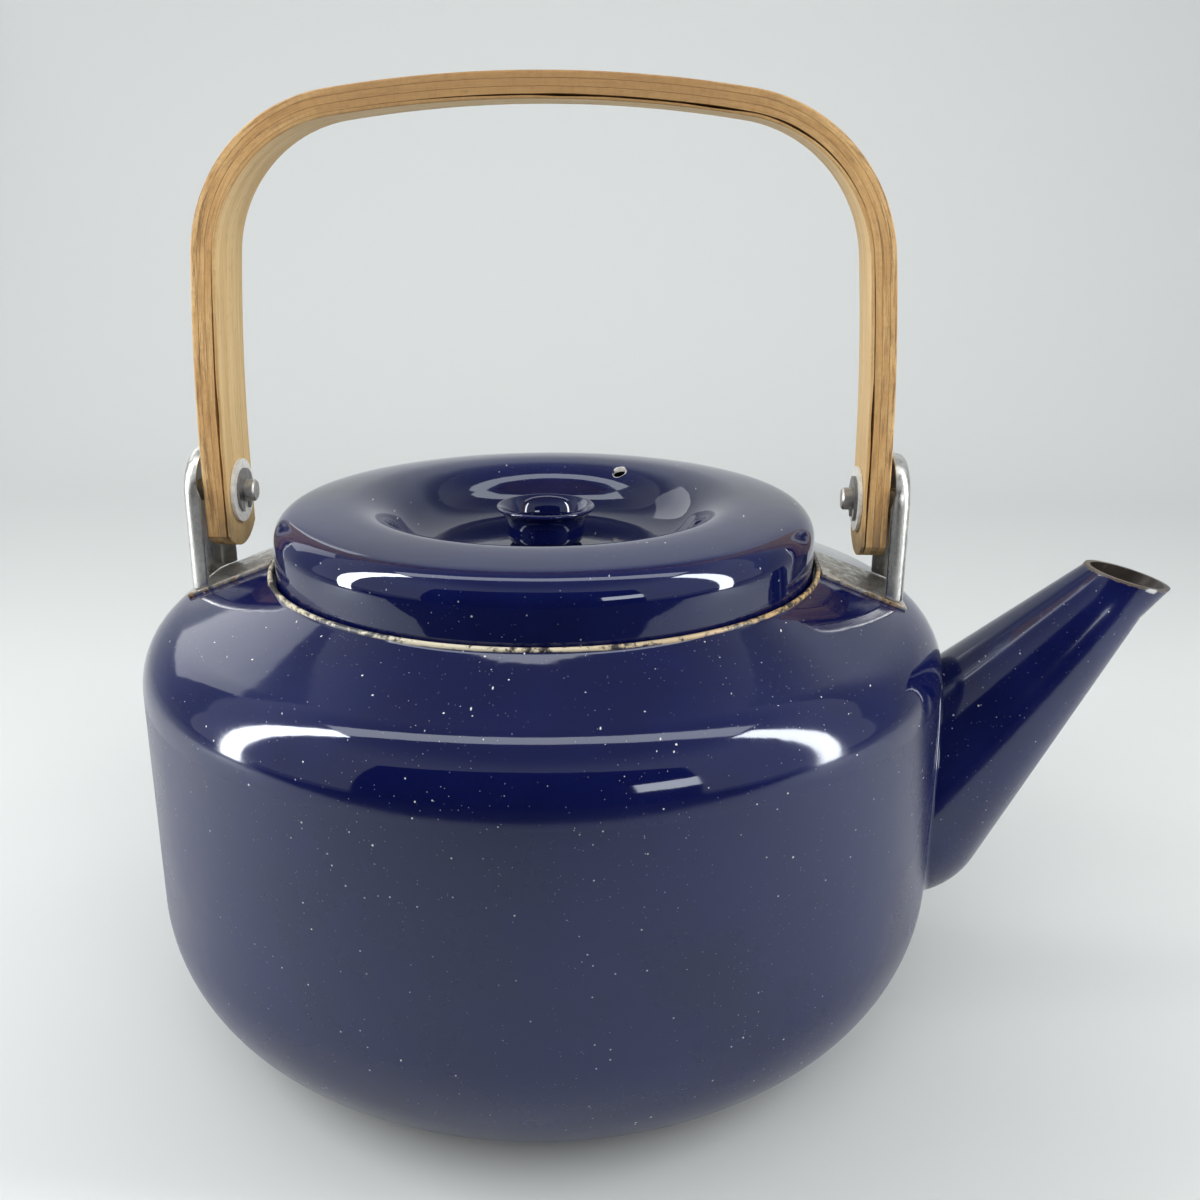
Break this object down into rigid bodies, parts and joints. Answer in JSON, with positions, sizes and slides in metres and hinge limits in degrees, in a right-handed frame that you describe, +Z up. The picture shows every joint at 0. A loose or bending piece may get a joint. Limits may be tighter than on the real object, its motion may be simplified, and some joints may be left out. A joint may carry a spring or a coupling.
{
  "type": "kettle",
  "caption": "Round enamelled stove-top kettle with a short conical spout, a dished lift-off lid with a cupped knob, and a laminated bentwood bail that swings on steel ears.",
  "frame": {"origin": "centre of the flat base that the kettle stands on", "axes": "+Z up, +X along the spout, the bail's pivot axis parallel to X"},
  "size_m": [0.2564, 0.2, 0.2316],
  "materials": {
    "enamel": "glossy navy vitreous enamel on sheet steel, scratched, with worn edges",
    "bracket_steel": "bare stainless sheet, satin with stippled bends, stained at the foot",
    "pivot_steel": "dull plated steel",
    "wood": "clear-finished pale bentwood laminate, worn, with dark glue lines"
  },
  "bodies": {
    "pot": {"body_pan": "enamel", "shoulder_ring": "enamel", "spout": "enamel", "left_bracket": "bracket_steel", "right_bracket": "bracket_steel", "left_pivot_stud": "pivot_steel", "left_washer": "pivot_steel", "left_retaining_clip": "pivot_steel", "right_pivot_stud": "pivot_steel", "right_washer": "pivot_steel", "right_retaining_clip": "pivot_steel"},
    "lid": {"lid_shell": "enamel", "lid_knob": "enamel"},
    "bail": {"handle_ply_outer": "wood", "handle_ply_third": "wood", "handle_ply_second": "wood", "handle_ply_inner": "wood"}
  },
  "joints": [
    {"name": "bail_swing", "type": "hinge", "parent": "pot", "child": "bail", "pos_m": [0, 0, 0.13332], "axis": [1, 0, 0], "range_deg": [-98, 98]},
    {"name": "lid_lift", "type": "slide", "parent": "pot", "child": "lid", "axis": [0, 0, 1], "range_m": [0, 0.06]}
  ]
}
